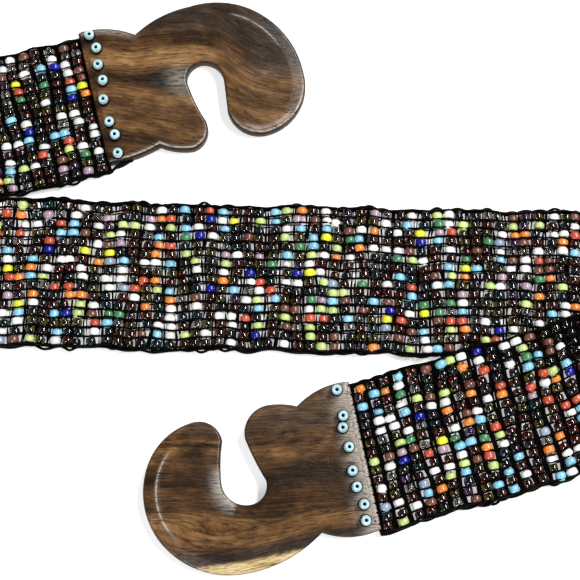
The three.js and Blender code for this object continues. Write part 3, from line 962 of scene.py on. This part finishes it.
def make_hooks(material):
    """Both carved plates, each with its own grain, painted highlights and painted shade on its sides."""
    for hook, table, bevel, end_drop, figure, paint_highlights in (
        ("upper", UPPER_OUTLINE, upper_bevel, 1.2, upper_figure, upper_painted_highlights),
        ("lower", LOWER_OUTLINE, lower_bevel, 1.8, lower_figure, lower_painted_highlights),
    ):
        points, faces, painted_highlight, side = hook_mesh(table, bevel, end_drop, paint_highlights)
        along, across, tone, grey, sapwood, painted_sheen = figure(points[:, 0], points[:, 1])
        seed = 40.0 if hook == "upper" else 140.0
        marks = {
            "grain": np.column_stack([along + seed, across + seed, points[:, 2]]),
            # The side walls' tone is lowered: painted shade. The painted highlights and sheen are kept
            # off them.
            "tone": tone - 1.1 * side, "grey": grey, "sapwood": sapwood * (1 - 0.8 * side),
            "painted_highlight": np.maximum(painted_highlight, painted_sheen) * (1 - side), "side": side,
        }
        make_piece(
            f"{hook}_carved_hook", on_hook(hook, points), faces, material,
            [f"{hook}_hook"], marks,
        )


def make_studs(material, thread):
    """The beads sewn on the hooks, each tipped its own way, the thread that holds each as a stem through
    it, and a black thread ring round each foot that stands in for its contact shadow."""
    hole, belly, length = BEAD_HOLE / 2, BEAD_DIAMETER / 2, BEAD_LENGTH
    turn = np.radians(np.arange(0, 360, 15))
    around = np.linspace(0, 2 * np.pi, 13)
    foot = SHADOW_RING_RADIUS * np.stack([np.cos(around), np.sin(around), 0 * around], axis=1)
    sweep = np.radians(np.linspace(-78, 78, 11))
    radius = hole + 0.25 + (belly - hole - 0.25) * np.cos(sweep)
    height = length / 2 * np.sin(sweep) / np.sin(sweep[-1])
    radius = np.concatenate([[hole], radius, [hole]])
    height = np.concatenate([[-length * 0.4], height, [length * 0.4]])
    ring = np.stack([np.cos(turn), np.sin(turn)], axis=1)
    faces = grid_faces(len(radius), len(turn), close_rows=True, close_columns=True)[:, ::-1]
    threads = []
    for hook in ("upper", "lower"):
        for k in range(1, 9):
            node = f"{hook}_stud_{k}"
            low, high = (np.array(corner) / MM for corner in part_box(node))
            tip = np.radians(RNG.uniform(3, 9))
            way = unit(RNG.uniform(0, 360))
            axis = np.array([*(way * np.sin(tip)), np.cos(tip)])
            side = normalised(np.cross(axis, [0, 1, 0]))
            other = np.cross(axis, side)
            centre = (low + high) / 2 + FRAME_ORIGIN
            points = centre + height[:, None, None] * axis
            points = points + radius[:, None, None] * (ring[:, :1] * side + ring[:, 1:] * other)
            make_piece(f"{node}_bead", points, [faces], material, [node])
            path = centre + np.linspace(-STEM_DEPTH, STEM_RISE, 9)[:, None] * axis
            threads.append(tubes(path[None], np.array([0.0, 1.0, 0.0]), STEM_RADIUS, 8))
            # A black ring round the bead's foot in place of its contact shadow: a painted shadow.
            path = foot + [centre[0], centre[1], low[2] + 0.3]
            threads.append(tubes(path[None], np.array([0.0, 0.0, 1.0]), SHADOW_RING_THICKNESS, 6))
    points, thread_faces = joined(threads)
    make_piece("stud_threads_and_shadow_rings", points, thread_faces, thread, ["beaded_band"])


def make_floor():
    """A pale plain table top, lit a little from below, a hair under the belt."""
    size, drop = 4.0, 0.00005
    mesh = bpy.data.meshes.new("floor")
    corners = [(-size, -size), (size, -size), (size, size), (-size, size)]
    mesh.from_pydata([(x, y, -drop) for x, y in corners], [], [(0, 1, 2, 3)])
    material, tree, shader = new_material("pale_floor")
    feed(tree, shader, Base_Color=(0.93, 0.93, 0.93, 1.0), Roughness=0.6)
    feed(tree, shader, Emission_Color=(1.0, 1.0, 1.0, 1.0), Emission_Strength=0.5)
    mesh.materials.append(material)
    floor = bpy.data.objects.new("floor", mesh)
    bpy.context.scene.collection.objects.link(floor)


def view_point():
    """The point of the floor at the photograph's middle, in metres in the frame."""
    return Vector((*((VIEW_CENTRE - FRAME_ORIGIN[:2]) * MM), 0.0))


def add_camera():
    data = bpy.data.cameras.new("camera")
    data.sensor_width = 36.0
    data.lens = data.sensor_width * VIEW_DISTANCE / (PHOTO_SIZE * PIXEL_SIZE)
    camera = bpy.data.objects.new("camera", data)
    away = Vector((0.0, -np.sin(VIEW_TILT), np.cos(VIEW_TILT)))
    camera.location = view_point() + away * VIEW_DISTANCE * MM
    camera.rotation_euler = (-away).to_track_quat("-Z", "Y").to_euler()
    bpy.context.scene.collection.objects.link(camera)
    bpy.context.scene.camera = camera


def add_light(name, place, width, length, power):
    """A soft strip light at a place from the view's middle, aimed at it. Its length lies as near to
    the y axis as it can, so that it draws long glints on beads whose holes lie that way."""
    away = Vector(place).normalized()
    side = Vector((0.0, 1.0, 0.0)).cross(away).normalized()
    data = bpy.data.lights.new(name, "AREA")
    data.shape = "RECTANGLE"
    data.size, data.size_y = width, length
    data.energy = power
    light = bpy.data.objects.new(name, data)
    light.location = view_point() + Vector(place)
    light.rotation_euler = Matrix((side, away.cross(side), away)).transposed().to_euler()
    bpy.context.scene.collection.objects.link(light)


def light_scene():
    """Two strip lights, and a world that is darker as a light than the camera sees it."""
    add_light("key_light", (0.62, 0.5, 1.0), 0.22, 1.2, 22.0)
    add_light("front_light", (-0.45, -0.95, 0.75), 0.3, 0.6, 8.5)
    world = bpy.data.worlds.new("studio")
    world.use_nodes = True
    tree = world.node_tree
    seen = add_node(tree, "ShaderNodeLightPath").outputs["Is Camera Ray"]
    strength = maths(tree, "MULTIPLY_ADD", seen, 0.5, 0.12)
    feed(tree, tree.nodes["Background"], Color=(1.0, 1.0, 1.0, 1.0), Strength=strength)
    bpy.context.scene.world = world


bpy.context.scene.view_settings.view_transform = "Standard"
add_camera()
light_scene()
make_floor()
thread = waxed_thread()
opaque_glass, clear_glass, stud_glass = make_glasses()
make_beads({"opaque": opaque_glass, "clear": clear_glass})
make_warps(thread)
make_wefts(thread)
make_binding_wefts(thread)
make_edge_threads(thread)
make_hooks(carved_wood())
make_studs(stud_glass, thread)
